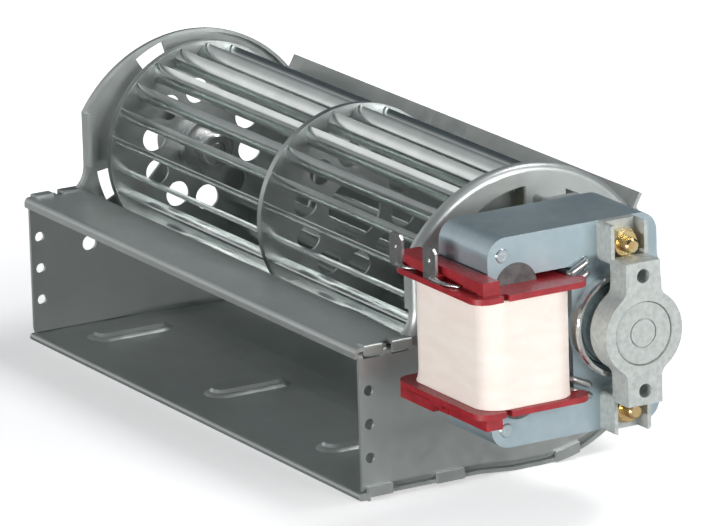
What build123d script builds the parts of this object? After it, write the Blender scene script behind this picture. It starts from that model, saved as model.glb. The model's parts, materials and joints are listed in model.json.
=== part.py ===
from build123d import *
import os
from math import asin, atan2, cos, degrees, hypot, radians, sin, sqrt

# Cross flow fan: a bladed rotor in a folded sheet scroll, driven by a shaded-pole motor.
#
# Frame: X runs along the rotor axis with +X at the motor, the outlet faces -Y, and +Z is up.
# The origin lies on the underside of the housing, at the middle of its length, below the rotor
# axis. Millimetres throughout.

os.makedirs("parts", exist_ok=True)

# ---------------------------------------------------------------- driving dimensions
AXIS_H = 50.4           # rotor axis above the surface that the housing stands on
SHEET = 1.0             # sheet of the housing
HALF_OUT = 92.5         # middle of the fan to the outer face of a side plate
SEAT = 0.02             # clearance of pieces pressed or laid together
SLIP = 0.1              # clearance of pieces that slot together

# housing profile, in Y and in Z from the rotor axis
FRONT_Y = -53.9         # outlet front
HEM_DEPTH = 3.0         # folded front hem of the floor
HEM_RISE = 1.0          # the floor behind the hem stands this much above the base
RAMP_FRONT_Y = -17.0    # the floor comes down to the base between these two lines
RAMP_BACK_Y = -6.0
VOLUTE_Y = 2.0          # the volute starts here
VOLUTE_R = 38.0         # radius of its lower quarter
BACK_TOP = 15.5         # the back wall follows the side plates up to this height
BACK_LIP = 4.2          # lip above it, which leans backwards
BACK_LIP_LEAN = 30.0    # degrees from upright
DECK_TOP = -8.6         # top of the deck
DECK_BACK_Y = -36.0     # the deck bends down into the tongue here
DECK_LIP = 2.8          # height of the lip over the outlet
TONGUE_Y = -30.2        # lower end of the tongue
TONGUE_Z = -19.5
TONGUE_FOOT = 3.0       # stiffening foot of the tongue
BEND_R = 1.0            # bend radius at mid sheet

# stiffening beads pressed up in the floor
BEAD_X = (-77.0, -9.5, 52.0)
BEAD_Y = -30.0
BEAD_LENGTH = 25.0
BEAD_WIDTH = 9.0
BEAD_RISE = 1.8

# side plates
PLATE_FRONT_Y = -52.8
PLATE_CORNER = 0.7      # clears the bend of the deck's lip
NECK_Y = -35.5          # front edge of the plate above the deck
NECK_FILLET = 8.0       # hollow corner between that edge and the deck
CROWN_R = 40.8          # round top
CROWN_RISE = 3.4        # its centre above the centre of the volute
CROWN_GAP = 0.2         # its back edge stands off the back wall
RIM_R = 2.0             # outer radius of the turned-in rim
RIM_DEPTH = 3.0         # depth of the rim over the round top
NECK_DEPTH = 5.0        # depth of the rim at the straight edge
DECK_SEAT_DEPTH = 2.0   # depth of the rim below the deck
SCREW_HOLE_R = 1.45     # three fixing holes beside the outlet
SCREW_Y = -50.0
SCREW_Z = -29.7
SCREW_PITCH = 9.2
CABLE_HOLE_R = 2.25     # larger hole further in
CABLE_Y = -34.2
CABLE_Z = -24.9
WINDOW_R = 27.1         # round window about the rotor axis
NOTCH_R = 31.2          # bayonet notches of the left window
NOTCH_MIDDLES = (114.5, 197.0, 281.0, 4.0)
NOTCH_SPAN = 17.5
WEB_Y = 5.7             # upright web left across the right window
WEB_WIDTH = 12.6
WEB_HUB_R = 12.0
WEB_BORE_R = 8.0

# tabs that hold the sheets to the side plates
DECK_TABS = ((-51.4, -46.0), (-42.9, -37.1))
FLOOR_TABS = ((-51.5, -44.0), (-30.4, -22.0), (6.5, 13.8))
TAB_HEIGHT = 1.8
DECK_TAB_DROP = 2.6
DECK_TAB_PROUD = 0.7    # a tab of the deck rises this much to bend over the plate
TAB_BEND_R = 0.8
TAB_SLOT_Z = -11.1      # slot in the plate below each of these tabs
TAB_SLOT_H = 1.1

# rotor
ROTOR_R = 30.0
DISC_T = 0.8
END_GAP = 5.1           # side plate to the outer face of an end disc
DISC_RIM = 0.55         # turned rim of a disc: its wall and its width
DISC_RIM_W = 2.0
BLADES = 22
BLADE_PHASE = 84.9      # angle of the first blade tip
BLADE_TIP_R = 29.2
BLADE_ROOT_R = 24.3
BLADE_CAMBER_R = 5.2
BLADE_T = 0.4
BLADE_OVERHANG = 0.6    # blade ends stand past the end discs
DISC_HOLES = 10
DISC_HOLE_R = 3.65
DISC_HOLE_PCR = 15.8
DISC_HOLE_PHASE = 165.6
MIDDLE_BORE_R = 8.2
SHAFT_R = 2.5
RUNNING = 0.03          # radial clearance of a shaft in its bush
HUB_R = 8.0
HUB_T = 4.0
HUB_NECK_R = 4.6
HUB_LENGTH = 9.0

# idle bearing in the left plate
BRIDGE_R = 26.8
BRIDGE_EYE_R = 8.6
BRIDGE_WINDOW_R = 24.0
BRIDGE_SPOKE = 7.0
BRIDGE_CUP = 4.0        # length of the cup that holds the grommet
GROMMET_R = 7.4
BUSH_R = 4.8
EAR_R = 30.6
EAR_SHIFT = 22.0        # each ear sits this many degrees past its notch
EAR_SPAN = 14.0

# motor: stack of laminations with its faces across X
MOTOR_GAP = 18.8        # right plate to the stack
STACK_T = 24.4
STACK_FRONT_Y = -38.6
STACK_BACK_Y = 12.7
STACK_HALF_H = 28.2
STACK_CORNER_R = 5.5
POLE_RING_R = 14.6
BORE_R = 11.9
COLLAR_R = 14.2         # bright centring collar on the outer face of the stack
COLLAR_IN_R = 12.9
COLLAR_T = 3.4
ARMATURE_R = 11.6
CAGE_R = 11.3
CAGE_BORE_R = 7.6
CAGE_LENGTH = 5.1
COIL_WINDOW_Y = -13.5
COIL_WINDOW_HALF_H = 17.2
LEG_Y = -30.2           # middle of the leg that carries the coil
LEG_HALF_W = 6.3
LEG_HALF_H = 21.0
RIVET_Y = -34.2
RIVET_Z = 23.4
RIVET_R = 1.5
RIVET_HEAD_R = 1.9
RIVET_HEAD = 0.5

# coil and bobbin, from the leg's middle
WALL = 1.3              # bobbin tube
COIL_HALF_X = 19.5
COIL_HALF_Y = 13.6
COIL_CORNER_R = 6.0
TAPE_T = 0.6
COIL_LOW_Z = -15.2
COIL_HIGH_Z = 14.0
FLANGE_T = 1.6
FLANGE_LEFT = 22.2
FLANGE_RIGHT = 21.5
FLANGE_FRONT = 17.2
FLANGE_BACK = 17.4
FLANGE_CORNER_R = 4.5
FLANGE_WAIST = 14.0     # back edge of a flange where it passes the poles
FLANGE_WAIST_X = 15.6
FLANGE_LOBE_R = 1.2     # inner corners of the lobes beside the waist
FLANGE_NICK_Y = -8.4    # nick between the front and outer lobes
FLANGE_NICK_D = 2.5
FLANGE_NICK_W = 1.8
RAIL_T = 3.6            # rails on the flanges, in front of the stack
RAIL_FRONT = 15.9
RAIL_BACK = 9.0
RAIL_END = 1.0          # a rail ends this much inside the flange
RAIL_STEP = 2.0         # its right part is set back
RAIL_NICK_X = -1.5      # nick between its two parts
RAIL_NICK_W = 6.0
RAIL_NICK_D = 1.8
RAIL_SLIT_H = 0.9       # slit between a rail and its flange
RAIL_SLIT_D = 2.6
RAIL_SLITS = ((-17.5, -6.0), (4.0, 16.0))
TERMINAL_W = 6.3
TERMINAL_T = 0.8
TERMINAL_H = 8.6
TERMINAL_OFF_X = (-20.3, -3.3)
TERMINAL_HOLE_R = 0.7
LEAD_R = 0.6
LEAD_LENGTH = 7.0

# shading rings on the poles
SHADE_R = 0.9
SHADE_OUT = 1.3         # ring centre line beyond the faces of the stack
SHADE_WINDOW_Y = -14.8
SHADE_SLOT_Y = -9.2
SHADE_Z = (12.6, 15.6)
SHADE_SLOPE = 2.6

# die-cast bearing brackets and their bolts
BOLT_Z = 22.3
BOLT_R = 2.0
BOLT_HOLE_R = 2.2
BOLT_PROUD = 8.8        # bolt end beyond the stack
HEX = 7.0               # across flats of nut and bolt head
NUT_T = 3.2
LUG_T = 7.0
LUG_HALF_W = 5.6
LUG_INNER_Z = 17.6
POCKET_FLOOR = 2.3
POCKET_HALF_W = 4.5
POCKET_INNER_Z = 18.3
ARM_HALF_W = 5.2
ARM_HALF_H = 19.2
ARM_IN = 5.7            # arm and boss start this far beyond the stack
ARM_OUT = 13.4
BOSS_R = 11.6
BOSS_FILLET = 3.5
ARM_HOLE_R = 1.9
ARM_HOLE_Z = 15.4
BUSH_LENGTH = 4.6
CAP_R = 8.6
CAP_T = 3.0
CAP_RECESS = 0.5        # face of the cap below the face of the boss
CAP_RING_R = 4.0
CAP_GROOVE = 0.4
POST_R = 4.0            # posts of the inner bracket that reach the right plate
POST_Z = 19.0
SCREW_R = 1.5
SCREW_HEAD_R = 2.8
SCREW_HEAD = 1.8
SCREW_LENGTH = 7.5

# ---------------------------------------------------------------- derived places
FLOOR_IN = SHEET - AXIS_H                   # inner face of the floor below the rotor
FLOOR_FRONT = FLOOR_IN + HEM_RISE           # inner face of the floor behind the hem
DECK_UNDER = DECK_TOP - SHEET
PLATE_IN = HALF_OUT - SHEET                 # inner face of a side plate
DISC_X = PLATE_IN - END_GAP - DISC_T / 2      # middle of the fan to the middle of an end disc
STACK_IN_X = HALF_OUT + MOTOR_GAP
STACK_OUT_X = STACK_IN_X + STACK_T
MOTOR_X = (STACK_IN_X + STACK_OUT_X) / 2
VOLUTE_BACK_Y = VOLUTE_Y + VOLUTE_R
VOLUTE_Z = FLOOR_IN + VOLUTE_R              # height of the volute's centres
CROWN_Y = VOLUTE_BACK_Y - CROWN_GAP - CROWN_R
CROWN_Z = VOLUTE_Z + CROWN_RISE
BACK_R = CROWN_R + CROWN_GAP                # inner radius of the back wall, round the crown's centre
BACK_ANGLE = degrees(asin((BACK_TOP - CROWN_Z) / BACK_R))
NECK_TOP_Z = CROWN_Z + sqrt(CROWN_R**2 - (NECK_Y - CROWN_Y) ** 2)


def across(x):
    """Plane square to the rotor axis: its x is Y, its y is the height above the axis."""
    return Plane(origin=(x, 0, AXIS_H), x_dir=(0, 1, 0), z_dir=(1, 0, 0))


def level(z):
    """Horizontal plane about the coil's middle, at a height above the rotor axis."""
    return Plane(origin=(MOTOR_X, LEG_Y, AXIS_H + z))


def finish(shape, name):
    """Label a finished piece and write it."""
    shape.label = name
    export_step(shape, f"parts/{name}.step")


# ---------------------------------------------------------------- housing sheets
def scroll_band(inward):
    """Section of the scroll sheet, thickened by this much on its inner side."""
    wall_in = VOLUTE_R - inward
    back_in = BACK_R - inward
    turn = radians(BACK_ANGLE)
    out_top = (CROWN_Y + (BACK_R + SHEET) * cos(turn), CROWN_Z + (BACK_R + SHEET) * sin(turn))
    in_top = (CROWN_Y + back_in * cos(turn), CROWN_Z + back_in * sin(turn))
    hem_y = FRONT_Y + SHEET
    with BuildSketch() as band:
        with BuildLine():
            Polyline(
                (hem_y, FLOOR_FRONT + inward),
                (RAMP_FRONT_Y, FLOOR_FRONT + inward),
                (RAMP_BACK_Y, FLOOR_IN + inward),
                (VOLUTE_Y, FLOOR_IN + inward),
            )
            TangentArc((VOLUTE_Y, FLOOR_IN + inward), (VOLUTE_Y + wall_in, VOLUTE_Z), tangent=(1, 0))
            Line((VOLUTE_Y + wall_in, VOLUTE_Z), (VOLUTE_Y + wall_in, CROWN_Z))
            TangentArc((VOLUTE_Y + wall_in, CROWN_Z), in_top, tangent=(0, 1))
            Line(in_top, out_top)
            TangentArc((VOLUTE_BACK_Y + SHEET, CROWN_Z), out_top, tangent=(0, 1))
            Line((VOLUTE_BACK_Y + SHEET, CROWN_Z), (VOLUTE_BACK_Y + SHEET, VOLUTE_Z))
            TangentArc((VOLUTE_Y, FLOOR_IN - SHEET), (VOLUTE_BACK_Y + SHEET, VOLUTE_Z), tangent=(1, 0))
            Polyline(
                (VOLUTE_Y, FLOOR_IN - SHEET),
                (RAMP_BACK_Y, FLOOR_IN - SHEET),
                (RAMP_FRONT_Y, FLOOR_FRONT - SHEET),
                (FRONT_Y + HEM_DEPTH, FLOOR_FRONT - SHEET),
                (FRONT_Y + HEM_DEPTH, FLOOR_FRONT - SHEET - HEM_RISE),
                (hem_y, FLOOR_FRONT - SHEET - HEM_RISE),
            )
            hem_r = (SHEET + HEM_RISE) / 2
            ThreePointArc(
                (hem_y, FLOOR_FRONT - SHEET - HEM_RISE),
                (hem_y - hem_r, FLOOR_FRONT - hem_r),
                (hem_y, FLOOR_FRONT),
            )
            if inward > 0:
                Line((hem_y, FLOOR_FRONT), (hem_y, FLOOR_FRONT + inward))
        make_face()
    return band.sketch


with BuildSketch() as floor_tab_places:
    for low, high in FLOOR_TABS:
        with Locations(((low + high) / 2, FLOOR_IN)):
            Rectangle(high - low, 4 * SHEET + 2 * TAB_HEIGHT)

with BuildPart() as scroll_sheet:
    with BuildSketch(across(-HALF_OUT)):
        add(scroll_band(0))
    extrude(amount=2 * HALF_OUT)
    # lip leaning backwards along the top of the back wall
    wall_mid_r = BACK_R + SHEET / 2
    lip_foot = (
        CROWN_Y + wall_mid_r * cos(radians(BACK_ANGLE)),
        CROWN_Z + wall_mid_r * sin(radians(BACK_ANGLE)),
    )
    with BuildSketch(across(-HALF_OUT)):
        with Locations(lip_foot):
            Circle(SHEET / 2)
            Rectangle(BACK_LIP, SHEET, rotation=90 - BACK_LIP_LEAN, align=(Align.MIN, Align.CENTER))
    extrude(amount=2 * HALF_OUT)
    # tabs folded up over the outer faces of the side plates
    for face_x in (-HALF_OUT - SHEET, HALF_OUT):
        with BuildSketch(across(face_x)):
            add(scroll_band(TAB_HEIGHT))
            add(floor_tab_places.sketch, mode=Mode.INTERSECT)
        extrude(amount=SHEET)
    # beads: a raised top and the hollow below it
    floor_z = AXIS_H + FLOOR_FRONT
    for hollow in (0, SHEET):
        with BuildSketch(Plane.XY.offset(floor_z - SHEET)):
            with Locations(*[(x, BEAD_Y) for x in BEAD_X]):
                SlotOverall(BEAD_LENGTH - 2 * hollow, BEAD_WIDTH - 2 * hollow, rotation=90)
        extrude(
            amount=BEAD_RISE + SHEET - hollow,
            taper=30,
            mode=Mode.SUBTRACT if hollow else Mode.ADD,
        )
finish(scroll_sheet.part, "scroll_sheet")

with BuildPart() as deck_sheet:
    mid_y = FRONT_Y + SHEET / 2
    mid_z = DECK_TOP - SHEET / 2
    with BuildSketch(across(-PLATE_IN + DECK_SEAT_DEPTH)):
        with BuildLine():
            FilletPolyline(
                (mid_y, DECK_TOP - DECK_LIP),
                (mid_y, mid_z),
                (DECK_BACK_Y, mid_z),
                (TONGUE_Y, TONGUE_Z),
                (TONGUE_Y - TONGUE_FOOT, TONGUE_Z - TONGUE_FOOT / 2),
                radius=BEND_R,
            )
        trace(line_width=SHEET)
    extrude(amount=2 * (PLATE_IN - DECK_SEAT_DEPTH))
    # the front of the deck runs out over both side plates
    ledge_back = NECK_Y - NECK_FILLET - SHEET
    with BuildSketch(across(-HALF_OUT)):
        with BuildLine():
            FilletPolyline(
                (mid_y, DECK_TOP - DECK_LIP),
                (mid_y, mid_z),
                (ledge_back, mid_z),
                radius=BEND_R,
            )
        trace(line_width=SHEET)
    extrude(amount=2 * HALF_OUT)
    # tabs folded down over the outer faces of the side plates
    for low, high in DECK_TABS:
        middle = (low + high) / 2
        for side in (-1, 1):
            tab_top = AXIS_H + DECK_TOP + DECK_TAB_PROUD
            with Locations((side * (HALF_OUT + SHEET / 2), middle, tab_top)):
                Box(SHEET, high - low, DECK_TAB_DROP, align=(Align.CENTER, Align.CENTER, Align.MAX))
            reach = HALF_OUT - PLATE_IN + DECK_SEAT_DEPTH
            with Locations((side * (HALF_OUT - reach / 2), middle, tab_top - SHEET / 2)):
                Box(reach, high - low, SHEET)
    tab_bends = deck_sheet.edges().filter_by(Axis.Y).filter_by(
        lambda edge: abs(edge.center().X) > HALF_OUT + SHEET / 2 and edge.center().Z > tab_top - SHEET / 2
    )
    fillet(tab_bends, radius=TAB_BEND_R)
finish(deck_sheet.part, "deck_sheet")


# ---------------------------------------------------------------- side plates
def plate_outline():
    """Outline of a side plate, standing on the inner face of the scroll sheet."""
    back_y = CROWN_Y + CROWN_R
    foot_r = VOLUTE_R - CROWN_GAP
    neck_foot = (NECK_Y - NECK_FILLET, DECK_UNDER)
    with BuildSketch() as outline:
        with BuildLine():
            Polyline(
                (VOLUTE_Y, FLOOR_IN),
                (RAMP_BACK_Y, FLOOR_IN),
                (RAMP_FRONT_Y, FLOOR_FRONT),
                (PLATE_FRONT_Y, FLOOR_FRONT),
                (PLATE_FRONT_Y, DECK_UNDER - PLATE_CORNER),
                (PLATE_FRONT_Y + PLATE_CORNER, DECK_UNDER),
                neck_foot,
            )
            TangentArc(neck_foot, (NECK_Y, DECK_UNDER + NECK_FILLET), tangent=(1, 0))
            Line((NECK_Y, DECK_UNDER + NECK_FILLET), (NECK_Y, NECK_TOP_Z))
            ThreePointArc((NECK_Y, NECK_TOP_Z), (CROWN_Y, CROWN_Z + CROWN_R), (back_y, CROWN_Z))
            Line((back_y, CROWN_Z), (back_y, FLOOR_IN + foot_r))
            TangentArc((VOLUTE_Y, FLOOR_IN), (back_y, FLOOR_IN + foot_r), tangent=(1, 0))
        make_face()
    return outline.sketch


def rim_pocket(reach=90):
    """Everything inside the turned-in rim, open downwards and to the front."""
    inner_r = CROWN_R - SHEET
    inner_y = NECK_Y + SHEET
    inner_top = CROWN_Z + sqrt(inner_r**2 - (inner_y - CROWN_Y) ** 2)
    step = DECK_UNDER - SHEET
    corner = NECK_FILLET + SHEET
    with BuildSketch() as pocket:
        with BuildLine():
            Polyline(
                (CROWN_Y + inner_r, CROWN_Z),
                (reach, CROWN_Z),
                (reach, -reach),
                (-reach, -reach),
                (-reach, step),
                (inner_y - corner, step),
            )
            TangentArc((inner_y - corner, step), (inner_y, step + corner), tangent=(1, 0))
            Line((inner_y, step + corner), (inner_y, inner_top))
            ThreePointArc(
                (inner_y, inner_top), (CROWN_Y, CROWN_Z + inner_r), (CROWN_Y + inner_r, CROWN_Z)
            )
        make_face()
    return pocket.sketch


with BuildPart() as plate_blank:
    with BuildSketch(across(HALF_OUT - NECK_DEPTH)):
        add(plate_outline())
    extrude(amount=NECK_DEPTH)
    outer_edges = plate_blank.faces().sort_by(Axis.X)[-1].edges()
    rim_edges = outer_edges.filter_by(
        lambda edge: edge.center().Z > AXIS_H + DECK_UNDER and edge.center().Y > NECK_Y - NECK_FILLET
    )
    fillet(rim_edges.filter_by(lambda edge: edge.center().Z > AXIS_H + CROWN_Z), radius=RIM_R)
    with BuildSketch(across(HALF_OUT - NECK_DEPTH)):
        add(rim_pocket())
    extrude(amount=NECK_DEPTH - SHEET, mode=Mode.SUBTRACT)
    # the rim is shallower over the round top, and shallower still below the deck
    with BuildSketch(across(HALF_OUT - NECK_DEPTH)):
        with Locations((0, NECK_TOP_Z)):
            Rectangle(4 * CROWN_R, 2 * CROWN_R, align=(Align.CENTER, Align.MIN))
        with Locations((0, CROWN_Z - SHEET)):
            Rectangle(2 * CROWN_R, 2 * CROWN_R, align=(Align.MIN, Align.MIN))
    extrude(amount=NECK_DEPTH - RIM_DEPTH, mode=Mode.SUBTRACT)
    with BuildSketch(across(HALF_OUT - NECK_DEPTH)):
        with Locations((NECK_Y + SHEET, DECK_UNDER + NECK_FILLET)):
            Rectangle(CROWN_R, CROWN_R, align=(Align.MAX, Align.MAX))
    extrude(amount=NECK_DEPTH - DECK_SEAT_DEPTH - SHEET, mode=Mode.SUBTRACT)
    # fixing holes beside the outlet
    with BuildSketch(across(HALF_OUT - SHEET)):
        with Locations((SCREW_Y, SCREW_Z)):
            with GridLocations(1, SCREW_PITCH, 1, 3):
                Circle(SCREW_HOLE_R)
        with Locations((CABLE_Y, CABLE_Z)):
            Circle(CABLE_HOLE_R)
        for low, high in DECK_TABS:
            with Locations(((low + high) / 2, TAB_SLOT_Z)):
                Rectangle(high - low, TAB_SLOT_H)
    extrude(amount=SHEET, mode=Mode.SUBTRACT)
    # slot for the rear tab of the deck
    low, high = DECK_TABS[1]
    tab_room = SHEET + DECK_TAB_PROUD + 2 * SLIP
    with Locations((HALF_OUT, (low + high) / 2, AXIS_H + DECK_UNDER - SLIP + tab_room / 2)):
        Box(4 * NECK_DEPTH, high - low + 2 * SLIP, tab_room, mode=Mode.SUBTRACT)

with BuildPart() as side_plate_right:
    add(plate_blank.part)
    with BuildSketch(across(HALF_OUT - SHEET)):
        Circle(WINDOW_R)
        with Locations((WEB_Y, 0)):
            Rectangle(WEB_WIDTH, 3 * WINDOW_R, mode=Mode.SUBTRACT)
        Circle(WEB_HUB_R, mode=Mode.SUBTRACT)
        Circle(WEB_BORE_R)
        with Locations((WEB_Y, POST_Z), (WEB_Y, -POST_Z)):
            Circle(SCREW_R + SLIP)
    extrude(amount=SHEET, mode=Mode.SUBTRACT)
finish(side_plate_right.part, "side_plate_right")


def ring_sector(inner_r, outer_r, middle, span):
    """Piece of a flat ring: two radii, the direction of its middle and its span in degrees."""
    ends = [radians(middle + side * span / 2) for side in (-1, 1)]
    heart = radians(middle)
    corners = [[(r * cos(a), r * sin(a)) for a in ends] for r in (inner_r, outer_r)]
    with BuildSketch() as sector:
        with BuildLine():
            for r, (start, stop) in zip((inner_r, outer_r), corners):
                ThreePointArc(start, (r * cos(heart), r * sin(heart)), stop)
            for side in (0, 1):
                Line(corners[0][side], corners[1][side])
        make_face()
    return sector.sketch


with BuildPart() as side_plate_left:
    add(mirror(plate_blank.part, about=Plane.YZ, mode=Mode.PRIVATE))
    with BuildSketch(across(-HALF_OUT)):
        Circle(WINDOW_R)
        for middle in NOTCH_MIDDLES:
            add(ring_sector(WINDOW_R - SHEET, NOTCH_R, middle, NOTCH_SPAN))
    extrude(amount=SHEET, mode=Mode.SUBTRACT)
finish(side_plate_left.part, "side_plate_left")

# ---------------------------------------------------------------- idle bearing in the left plate
with BuildPart() as bearing_bridge:
    with BuildSketch(across(-HALF_OUT)):
        Circle(BRIDGE_R)
        Circle(BRIDGE_WINDOW_R, mode=Mode.SUBTRACT)
        Circle(BRIDGE_EYE_R)
        with PolarLocations(0, 4, start_angle=45):
            Rectangle(2 * BRIDGE_R - SHEET, BRIDGE_SPOKE)
        Circle(GROMMET_R, mode=Mode.SUBTRACT)
    extrude(amount=SHEET)
    with BuildSketch(across(-HALF_OUT)):
        Circle(BRIDGE_EYE_R)
        Circle(GROMMET_R, mode=Mode.SUBTRACT)
    extrude(amount=-BRIDGE_CUP)
    with BuildSketch(across(-HALF_OUT)):
        for middle in NOTCH_MIDDLES:
            add(ring_sector(BRIDGE_WINDOW_R, EAR_R, middle + EAR_SHIFT, EAR_SPAN))
    extrude(amount=-SHEET)
finish(bearing_bridge.part, "bearing_bridge")

GROMMET_IN_X = -HALF_OUT + SHEET
GROMMET_LENGTH = BRIDGE_CUP + SHEET
with BuildPart() as bearing_grommet:
    with BuildSketch(across(GROMMET_IN_X)):
        Circle(GROMMET_R - SEAT)
        Circle(BUSH_R, mode=Mode.SUBTRACT)
    extrude(amount=-GROMMET_LENGTH)
finish(bearing_grommet.part, "bearing_grommet")

with BuildPart() as bush_left:
    with BuildSketch(across(GROMMET_IN_X)):
        Circle(BUSH_R - SEAT)
        Circle(SHAFT_R + RUNNING, mode=Mode.SUBTRACT)
    extrude(amount=-GROMMET_LENGTH)
finish(bush_left.part, "bush_left")

# ---------------------------------------------------------------- rotor
CAMBER_A = 2 * BLADE_ROOT_R * BLADE_CAMBER_R
CAMBER_B = 2 * BLADE_CAMBER_R**2
CAMBER_D = BLADE_TIP_R**2 - BLADE_ROOT_R**2
# the blade is radial at its root and turns through this angle up to its tip
CAMBER_TURN = degrees(
    atan2(CAMBER_B, CAMBER_A) + asin((CAMBER_D - CAMBER_B) / hypot(CAMBER_A, CAMBER_B))
)
TIP_LAG = degrees(
    atan2(
        BLADE_CAMBER_R * (1 - cos(radians(CAMBER_TURN))),
        BLADE_ROOT_R + BLADE_CAMBER_R * sin(radians(CAMBER_TURN)),
    )
)
BLADE_PITCH = 360 / BLADES


def blade_section(thickness, extra_turn=0):
    """Curved strip whose root lies on the x axis, with its tip leaning clockwise."""
    centre = (BLADE_ROOT_R, -BLADE_CAMBER_R)
    start = 90 - CAMBER_TURN - extra_turn
    sweep_angle = CAMBER_TURN + 2 * extra_turn
    with BuildSketch() as section:
        with BuildLine():
            outer = CenterArc(centre, BLADE_CAMBER_R + thickness / 2, start, sweep_angle)
            inner = CenterArc(centre, BLADE_CAMBER_R - thickness / 2, start, sweep_angle)
            Line(outer @ 0, inner @ 0)
            Line(outer @ 1, inner @ 1)
        make_face()
    return section.sketch


def blade_turn(index):
    """Direction of a blade's root."""
    return BLADE_PHASE + TIP_LAG + index * BLADE_PITCH


def disc_sketch(bore_r):
    """Rotor disc with its blade slots, lightening holes and centre bore."""
    slot = blade_section(BLADE_T + 2 * SEAT, extra_turn=0.6)
    with BuildSketch() as disc:
        Circle(ROTOR_R)
        Circle(bore_r, mode=Mode.SUBTRACT)
        with PolarLocations(DISC_HOLE_PCR, DISC_HOLES, start_angle=DISC_HOLE_PHASE):
            Circle(DISC_HOLE_R, mode=Mode.SUBTRACT)
        for index in range(BLADES):
            add(Rot(0, 0, blade_turn(index)) * slot, mode=Mode.SUBTRACT)
    return disc.sketch


for disc_name, disc_x, disc_bore in (
    ("impeller_disc_left", -DISC_X, SHAFT_R + SEAT),
    ("impeller_disc_middle", 0, MIDDLE_BORE_R),
    ("impeller_disc_right", DISC_X, SHAFT_R + SEAT),
):
    with BuildPart() as disc:
        with BuildSketch(across(disc_x - DISC_T / 2)):
            add(disc_sketch(disc_bore))
        extrude(amount=DISC_T)
        # turned rim round the blade tips
        with BuildSketch(across(disc_x - DISC_RIM_W / 2)):
            Circle(ROTOR_R)
            Circle(ROTOR_R - DISC_RIM, mode=Mode.SUBTRACT)
        extrude(amount=DISC_RIM_W)
    finish(disc.part, disc_name)

BLADE_HALF = DISC_X + DISC_T / 2 + BLADE_OVERHANG
for index in range(BLADES):
    with BuildPart() as blade:
        with BuildSketch(across(-BLADE_HALF)):
            add(Rot(0, 0, blade_turn(index)) * blade_section(BLADE_T))
        extrude(amount=2 * BLADE_HALF)
    finish(blade.part, f"blade_{index + 1:02d}")


def hub(disc_face_x, inward):
    """Flanged hub against the inner face of an end disc; inward is its direction along X."""
    with BuildPart() as boss:
        with BuildSketch(across(disc_face_x)):
            Circle(HUB_R)
            Circle(SHAFT_R + SEAT, mode=Mode.SUBTRACT)
        extrude(amount=inward * HUB_T)
        with BuildSketch(across(disc_face_x)):
            Circle(HUB_NECK_R)
            Circle(SHAFT_R + SEAT, mode=Mode.SUBTRACT)
        extrude(amount=inward * HUB_LENGTH)
        chamfer(boss.edges().group_by(Axis.X)[0 if inward < 0 else -1].sort_by(SortBy.LENGTH)[-1], 0.5)
    return boss.part


DISC_INNER_X = DISC_X - DISC_T / 2
finish(hub(-DISC_INNER_X, 1), "idle_hub")
finish(hub(DISC_INNER_X, -1), "drive_hub")


def shaft(start_x, end_x):
    """Plain shaft on the rotor axis with chamfered ends."""
    with BuildPart() as rod:
        with BuildSketch(across(start_x)):
            Circle(SHAFT_R)
        extrude(amount=end_x - start_x)
        chamfer(rod.edges().filter_by(GeomType.CIRCLE), 0.4)
    return rod.part


CAP_SEAT_X = STACK_OUT_X + ARM_OUT - CAP_RECESS - CAP_T
BUSH_OUT_X = CAP_SEAT_X - 0.3
finish(shaft(-HALF_OUT - BRIDGE_CUP, -DISC_INNER_X + HUB_LENGTH), "stub_shaft")
finish(shaft(DISC_INNER_X - HUB_LENGTH, BUSH_OUT_X), "motor_shaft")

with BuildPart() as motor_rotor:
    with BuildSketch(across(STACK_IN_X)):
        Circle(ARMATURE_R)
        Circle(SHAFT_R + SEAT, mode=Mode.SUBTRACT)
    extrude(amount=STACK_OUT_X - STACK_IN_X)
finish(motor_rotor.part, "motor_rotor")

with BuildPart() as rotor_end_rings:
    for face_x, way in ((STACK_IN_X, -1), (STACK_OUT_X, 1)):
        with BuildSketch(across(face_x)):
            Circle(CAGE_R)
            Circle(CAGE_BORE_R, mode=Mode.SUBTRACT)
        extrude(amount=way * CAGE_LENGTH)
finish(rotor_end_rings.part, "rotor_end_rings")

# ---------------------------------------------------------------- stator
BOLT_PLACES = ((0, BOLT_Z), (0, -BOLT_Z))
RIVET_PLACES = ((RIVET_Y, RIVET_Z), (RIVET_Y, -RIVET_Z))


def leg_section(clearance=0):
    """Front view of the coil leg: an upright strip with round ends."""
    with BuildSketch() as strip:
        with Locations((LEG_Y, 0)):
            SlotOverall(
                2 * (LEG_HALF_H + clearance), 2 * (LEG_HALF_W + clearance), rotation=90
            )
    return strip.sketch


with BuildPart() as stator_stack:
    with BuildSketch(across(STACK_IN_X)):
        with Locations(((STACK_FRONT_Y + STACK_BACK_Y) / 2, 0)):
            RectangleRounded(STACK_BACK_Y - STACK_FRONT_Y, 2 * STACK_HALF_H, STACK_CORNER_R)
        with Locations((COIL_WINDOW_Y, 0)):
            Rectangle(
                2 * STACK_HALF_H,
                2 * COIL_WINDOW_HALF_H,
                align=(Align.MAX, Align.CENTER),
                mode=Mode.SUBTRACT,
            )
        Circle(POLE_RING_R)
        Circle(BORE_R, mode=Mode.SUBTRACT)
        add(leg_section(SEAT), mode=Mode.SUBTRACT)
        with Locations(*BOLT_PLACES):
            Circle(BOLT_HOLE_R, mode=Mode.SUBTRACT)
        with Locations(*RIVET_PLACES):
            Circle(RIVET_R + SEAT, mode=Mode.SUBTRACT)
        for side in (-1, 1):
            for height in SHADE_Z:
                with Locations((SHADE_SLOT_Y, side * (height + SHADE_SLOPE))):
                    Circle(SHADE_R + SLIP, mode=Mode.SUBTRACT)
    extrude(amount=STACK_OUT_X - STACK_IN_X)
finish(stator_stack.part, "stator_stack")

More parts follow.
